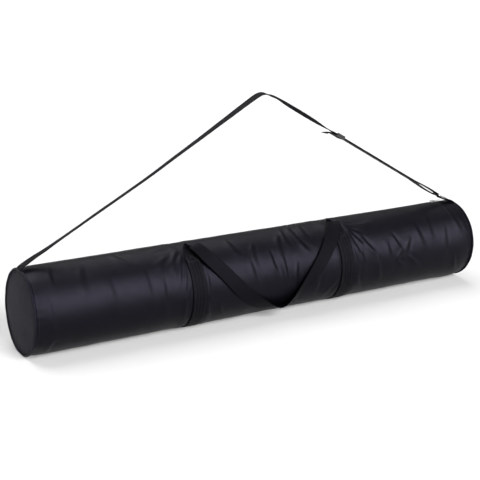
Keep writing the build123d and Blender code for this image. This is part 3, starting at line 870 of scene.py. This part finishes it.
def back_stations():
    """The back handle hangs as a wide loop from higher up: the same webbing, over a shorter drop."""
    low_x, drop, hang = 14, 103, 4.2
    rows = []
    down = (0.0, 0.012, 0.04, 0.08, 0.13, 0.2, 0.3, 0.4, 0.5, 0.6, 0.7, 0.8, 0.9, 1.0)
    for side, shares in ((-1, down), (1, down[-2::-1])):
        for share in shares:
            inward = side * RIGHT_BAND - low_x
            x = side * RIGHT_BAND - inward * share ** hang
            fall = drop * RADIUS * math.pi / 180 / MM
            slope = math.degrees(math.atan2(fall, abs(inward) * hang * share ** (hang - 1)))
            turn = 90 - slope if side < 0 else 90 + slope
            lift = 6.66 * hump(share - 0.05, 0.07) + 1.2
            rows.append((x, BACK_ROOT + drop * share, lift, turn, 0))
    return rows


class BAG_OT_bands(bpy.types.Operator):
    """Wrap the two webbing bands round the tube and stitch them down"""

    bl_idname = "bag.bands"
    bl_label = "Bands"

    def execute(self, context):
        thick = context.scene.bag_sizes.webbing_thickness
        surface = WEBBING_BED + SEWN * MM + thick / 2
        left_start = FRONT_ROOT_LEFT[::-1]
        right_start = [(x, phi, height, 180 - turn, tilt)
                       for x, phi, height, turn, tilt in FRONT_ROOT_RIGHT]
        for word, start, x in (("left", left_start, LEFT_BAND), ("right", right_start, RIGHT_BAND)):
            loop = [(x, phi, SEWN, 0, 0) for phi in np.arange(54, 300, 12)]
            finish = [(x, phi, height, 0, 0)
                      for phi, height in ((306, -0.8), (311.5, 0.2), (315, 2.4), (316.2, 5.2))]
            middle, wide = webbing_line([*start, *loop, *finish], 10)
            band = ribbon(f"{word}_webbing_band", middle, wide, BAND_WIDTH, thick, "webbing", "bag")
            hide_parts(f"{word}_band")
            lines = []
            phi = np.linspace(34, 302, 500)
            for off in (-14.6, -11.4, -3.6, 3.6, 11.4, 14.6):
                line = around((x + off) * MM + 0 * phi, phi, surface)
                lines.append((rested(line, STITCH_FLOOR - thick / 2), outward(phi)))
            share = np.linspace(0, 1, 24)
            for low, high in ((26, 42), (288, 304)):
                for (x0, p0), (x1, p1) in (((-14, low), (14, high)), ((14, low), (-14, high)),
                                           ((-14, low), (14, low)), ((-14, high), (14, high))):
                    turned = p0 + (p1 - p0) * share
                    line = around((x + x0 + (x1 - x0) * share) * MM, turned, surface)
                    lines.append((line, outward(turned)))
            stitches(f"{word}_band_stitches", lines, "bag", thick=0.6 * MM)
        return {"FINISHED"}


class BAG_OT_handles(bpy.types.Operator):
    """Hang the front and the back handle from the bands"""

    bl_idname = "bag.handles"
    bl_label = "Handles"

    def execute(self, context):
        thick = context.scene.bag_sizes.webbing_thickness
        for word, rows, side, root in (("front", FRONT_RUN, 1, FRONT_ROOT),
                                       ("back", back_stations(), -1, BACK_ROOT)):
            middle, wide = webbing_line(rows, 14, side)
            handle = ribbon(f"{word}_handle_webbing", middle, wide, BAND_WIDTH, thick, "webbing",
                            curl=0.5 * MM)
            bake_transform(handle)
            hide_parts(f"{word}_handle")
        return {"FINISHED"}


class BAG_OT_zip(bpy.types.Operator):
    """Weave the zip's tapes and wind its coils"""

    bl_idname = "bag.zip"
    bl_label = "Zip"

    def execute(self, context):
        pitch = context.scene.bag_sizes.coil_pitch
        for word, sign in (("front", 1), ("back", -1)):
            x = np.linspace(-TAPE_HALF, TAPE_HALF, 300)
            phi = ZIP + np.degrees(sign * TAPE_OFF_ZIP / (RADIUS - 2 * MM)) + 0 * x
            middle = around(x, phi, RADIUS - 1.95 * MM)
            across = np.tile(np.cross([1.0, 0, 0], outward(phi)[0]), (len(x), 1))
            tape = ribbon(f"{word}_zip_tape", leaned(middle), across, TAPE_WIDTH, TAPE_THICKNESS,
                          "zip_tape", "bag")
            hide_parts(f"zipper_tape_{word}")
            turns = int(2 * COIL_HALF / pitch)
            steps, sides = 10, 5
            t = np.arange(turns * steps + 1) / steps
            shift = 0.5 if sign < 0 else 0.0
            wind = (t + shift) * math.tau
            wide, high, wire = 1.95 * MM, 1.1 * MM, 0.3 * MM
            zip_out = outward(np.array([ZIP]))[0]
            zip_side = np.cross([1.0, 0.0, 0.0], zip_out)
            centre = np.array([0.0, 0.0, AXIS]) + zip_out * (RADIUS - 1.7 * MM) + zip_side * sign * 1.9 * MM
            line = centre + np.outer(np.cos(wind) * wide * sign, zip_side)
            line += np.outer(np.sin(wind) * high, zip_out)
            line[:, 0] = -COIL_HALF + t * pitch
            along = unit(np.gradient(line, axis=0))
            side_a = unit(np.cross(along, [1.0, 0, 0]))
            side_b = np.cross(along, side_a)
            ring = np.radians(np.arange(sides) * 360 / sides)
            points = (line[:, None] + side_a[:, None] * np.cos(ring)[None, :, None] * wire
                      + side_b[:, None] * np.sin(ring)[None, :, None] * wire)
            faces = capped(grid_faces(len(line), sides, True), len(line), sides)
            coil = piece(f"{word}_zip_coil", points.reshape(-1, 3), faces, "zip_coil", "bag")
            face_outward(coil)
            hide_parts(f"zipper_coil_{word}")
        return {"FINISHED"}


# Places on the shoulder strap's left part: millimetres along the bag and up, and twist in degrees.
STRAP_LEFT = (
    (-600.5, 199.4, 0), (-592, 204.6, 0), (-580, 211.75, 1), (-562, 221.5, 4), (-540, 232, 8),
    (-502, 252, 13), (-450, 279.5, 14), (-404, 304, 13), (-340, 337.5, 13), (-278, 370.6, 12),
    (-210, 409.5, 10), (-149, 444, 7), (-105, 469.5, 4), (-70, 489.5, 1), (-40, 507, -1),
    (-16, 520.6, -3), (0, 529.4, -4), (10, 533.6, -4), (19, 535.0, -4), (28, 533.4, -5), (38, 528.6, -7),
)
# Places on its right part, on the layer that returns from the ring with its tail, and on the loop
# round the ring: millimetres up the run from the ring's lower bar, millimetres off the run's middle
# and twist in degrees. The strap is flat where the buckle travels.
STRAP_RIGHT = (
    (598, 1.0, -14), (570, 1.0, -23), (535, 1.0, -27), (500, 1.0, -27), (468, 1.0, -24), (440, 1.0, -16),
    (418, 1.0, -6), (404, 1.0, -1), (390, 1.0, -1), (375, 1.0, -1), (330, 1.0, -1), (260, 1.0, -1),
    (180, 1.0, -1), (122, 1.0, -1), (108, 1.3, -1), (85, 2.3, 0), (62, 3.2, 0), (46, 3.5, 0),
)
STRAP_RETURN = (
    (46, -3.8, 0), (62, -3.9, 0), (85, -3.1, 0), (108, -1.7, -1), (122, -1.0, -1), (180, -1.0, -1),
    (260, -1.0, -1), (330, -1.0, -1), (375, -1.0, -1), (390, -1.0, -1), (402, -1.0, -1),
    (408, -2.0, -4), (413, -4.0, -4), (418, -6.6, -4), (422.5, -9.2, -4), (427, -11.8, -4),
)
RING_LOOP_OUT = ((46, 3.5, 0), (38, 3.4, 0), (29, 3.1, 0))
RING_LOOP_BACK = ((29, -3.2, 0), (38, -3.6, 0), (46, -3.8, 0))
FAR_BAR = 20.0             # from the ring's lower bar to its far bar
BAR_WRAP = 2.75            # from a bar's middle to the middle of the webbing round it
RING_BAR = np.array([566.0, 213.0])
RUN_WAY, RUN_SQUARE = np.array([-0.85662, 0.51595]), np.array([0.51595, 0.85662])
TAB_FOOT = np.array([598.0, 199.8])
TAB_LENGTH = 34.6
TAB_SEWN = ((606.0, 190.6, 0), (603.8, 196.4, 0))   # places under the tab's foot
# Shares of the tab's length and millimetres off its middle, up to the ring's bar and back down.
TAB_UP = ((0.05, 0.9), (0.3, 1.0), (0.6, 1.4), (0.85, 2.4))
TAB_DOWN = ((0.85, -2.4), (0.6, -1.4), (0.3, -1.0), (0.08, -0.9))


def strap_place(distance, off=0.0):
    """Place on the strap's right run, in millimetres from the ring's lower bar."""
    return RING_BAR + RUN_WAY * distance + RUN_SQUARE * off


def on_run(stations):
    """Places along the bag and up, from places on the right run."""
    return [(*strap_place(distance, off), twist) for distance, off, twist in stations]


def wrapped_bar(middle, way, square, turns):
    """Places of webbing wrapped round a bar, from its upper side to its lower side."""
    places = []
    for angle in map(math.radians, turns):
        x, z = middle + way * BAR_WRAP * math.sin(angle) + square * BAR_WRAP * math.cos(angle)
        places.append((x, z, 0))
    return places


def strap_line(stations, per_span):
    """Middle line and width directions of the strap from places (x, z) and its twist in degrees."""
    rows = curve_through(stations, per_span)
    middle = np.stack([rows[:, 0], 0 * rows[:, 0], rows[:, 1]], -1) * MM
    along = unit(np.gradient(middle, axis=0))
    square = np.cross([0.0, 1.0, 0.0], along)
    twist = np.radians(rows[:, 2])[:, None]
    return middle, np.cos(twist) * np.array([0.0, 1.0, 0.0]) + np.sin(twist) * square


class BAG_OT_strap(bpy.types.Operator):
    """Make the shoulder strap, its ring loop, its tab and its stitching"""

    bl_idname = "bag.strap"
    bl_label = "Shoulder strap"

    def execute(self, context):
        thick, width = context.scene.bag_sizes.webbing_thickness, context.scene.bag_sizes.strap_width
        middle, wide = strap_line([*STRAP_LEFT, *on_run(STRAP_RIGHT)], 8)
        strap = ribbon("shoulder_strap_webbing", middle, wide, width, thick, "webbing", curl=0.25 * MM)
        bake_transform(strap)
        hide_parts("left_strap_end", "strap_left_run", "strap_right_run")

        middle, wide = strap_line(on_run(STRAP_RETURN), 8)
        returning = ribbon("strap_return_webbing", middle, wide, width, thick, "webbing")
        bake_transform(returning)
        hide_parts("strap_return_run")

        turn = wrapped_bar(strap_place(FAR_BAR), -RUN_WAY, RUN_SQUARE, (0, 36, 72, 108, 144, 180))
        middle, wide = strap_line([*on_run(RING_LOOP_OUT), *turn, *on_run(RING_LOOP_BACK)], 6)
        looped = ribbon("strap_ring_webbing", middle, wide, width, thick, "webbing")
        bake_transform(looped)
        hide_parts("strap_ring_loop")

        way = (RING_BAR - TAB_FOOT) / np.linalg.norm(RING_BAR - TAB_FOOT)
        square = np.array([way[1], -way[0]])
        up, down = ([(*(TAB_FOOT + way * TAB_LENGTH * share + square * off), 0) for share, off in layer]
                    for layer in (TAB_UP, TAB_DOWN))
        turn = wrapped_bar(RING_BAR, way, square, (0, 45, 90, 135, 180))
        middle, wide = strap_line([*TAB_SEWN, *up, *turn, *down], 6)
        tab = ribbon("ring_tab_webbing", middle, wide, width, thick, "webbing", "bag")
        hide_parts("ring_tab")

        front_low, back_low = (-599, -10.4, 202.6), (-599, 10.4, 202.6)
        front_high, back_high = (-584, -10.4, 211.8), (-584, 10.4, 211.8)
        lines = []
        for pair in ((front_low, front_high), (back_low, back_high), (front_low, back_high),
                     (back_low, front_high), (front_low, back_low), (front_high, back_high)):
            lines.append((np.array(pair) * MM, np.tile([-0.5, 0, 0.86], (2, 1))))
        stitches("strap_end_stitches", lines, "bag")
        return {"FINISHED"}


class BAG_OT_fittings(bpy.types.Operator):
    """Give the metal and plastic fittings their finishes"""

    bl_idname = "bag.fittings"
    bl_label = "Fittings"

    def execute(self, context):
        for node, slot in (("zipper_slider", "zip_metal"), ("zipper_puller", "zip_metal"),
                           ("zipper_stops", "zip_metal"), ("strap_ring", "ring_metal"),
                           ("strap_slider", "buckle_plastic")):
            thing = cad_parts[node]
            for place in thing.material_slots:
                place.material = finish_named(slot)
        return {"FINISHED"}


STEPS = (BAG_OT_stage, BAG_OT_tube, BAG_OT_ends, BAG_OT_bands, BAG_OT_handles, BAG_OT_zip, BAG_OT_strap,
         BAG_OT_fittings)


class BAG_PT_panel(bpy.types.Panel):
    """The bag's sizes, colours and steps"""

    bl_idname = "BAG_PT_panel"
    bl_label = "Drawing tube bag"
    bl_space_type = "VIEW_3D"
    bl_region_type = "UI"
    bl_category = "Bag"

    def draw(self, context):
        for group in (context.scene.bag_sizes, context.scene.bag_colours):
            for name in group.bl_rna.properties.keys():
                if name not in ("rna_type", "name"):
                    self.layout.prop(group, name)
        for step in STEPS:
            self.layout.operator(step.bl_idname)


CLASSES = (BagSizes, BagColours, *STEPS, BAG_PT_panel)


def register():
    for kind in CLASSES:
        bpy.utils.register_class(kind)
    bpy.types.Scene.bag_sizes = bpy.props.PointerProperty(type=BagSizes)
    bpy.types.Scene.bag_colours = bpy.props.PointerProperty(type=BagColours)


def unregister():
    del bpy.types.Scene.bag_colours
    del bpy.types.Scene.bag_sizes
    for kind in reversed(CLASSES):
        bpy.utils.unregister_class(kind)


def main():
    register()
    bpy.ops.bag.stage()
    bpy.ops.bag.tube()
    bpy.ops.bag.ends()
    bpy.ops.bag.bands()
    bpy.ops.bag.handles()
    bpy.ops.bag.zip()
    bpy.ops.bag.strap()
    bpy.ops.bag.fittings()


if __name__ == "__main__":
    main()
